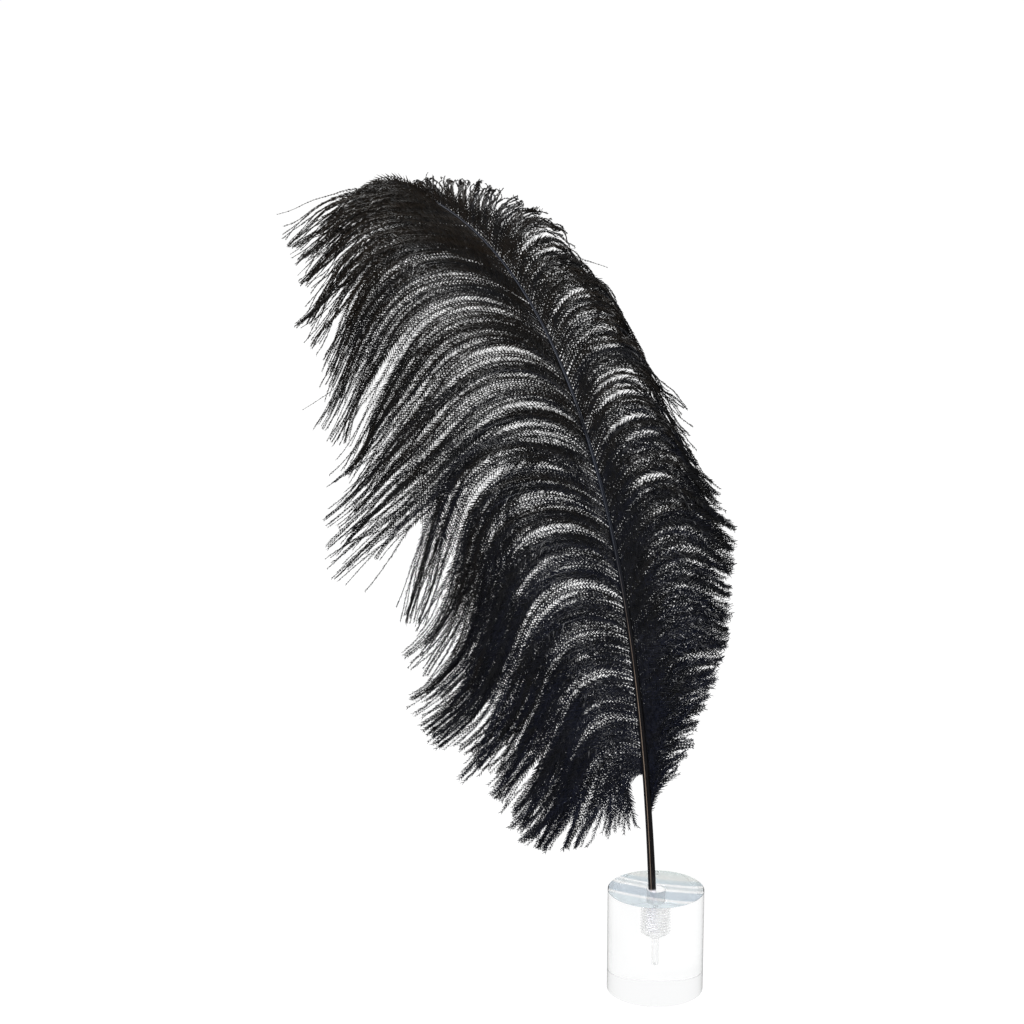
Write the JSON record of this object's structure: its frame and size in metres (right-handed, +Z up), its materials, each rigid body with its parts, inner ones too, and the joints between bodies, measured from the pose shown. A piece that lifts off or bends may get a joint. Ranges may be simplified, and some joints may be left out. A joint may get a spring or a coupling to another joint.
{
  "type": "ostrich feather on a clear stand",
  "caption": "Large black ostrich plume with long drooping barbs, its quill standing upright in the tapped hole of a clear cylindrical block.",
  "frame": {"origin": "centre of the clear block's foot, on the surface it stands on", "axes": "+Z up, along the block and the plume; the plume's face looks along -Y, and its longer, drooping side is towards -X"},
  "size_m": [0.228, 0.0873, 0.4234],
  "materials": {
    "feather": "soft dyed black barbs with a faint blue-brown sheen, and a glossy black-brown shaft",
    "clear_block": "clear polished acrylic with a machined, faintly streaked top face"
  },
  "bodies": {
    "root": {"feather": "feather", "stand": "clear_block"}
  },
  "joints": []
}
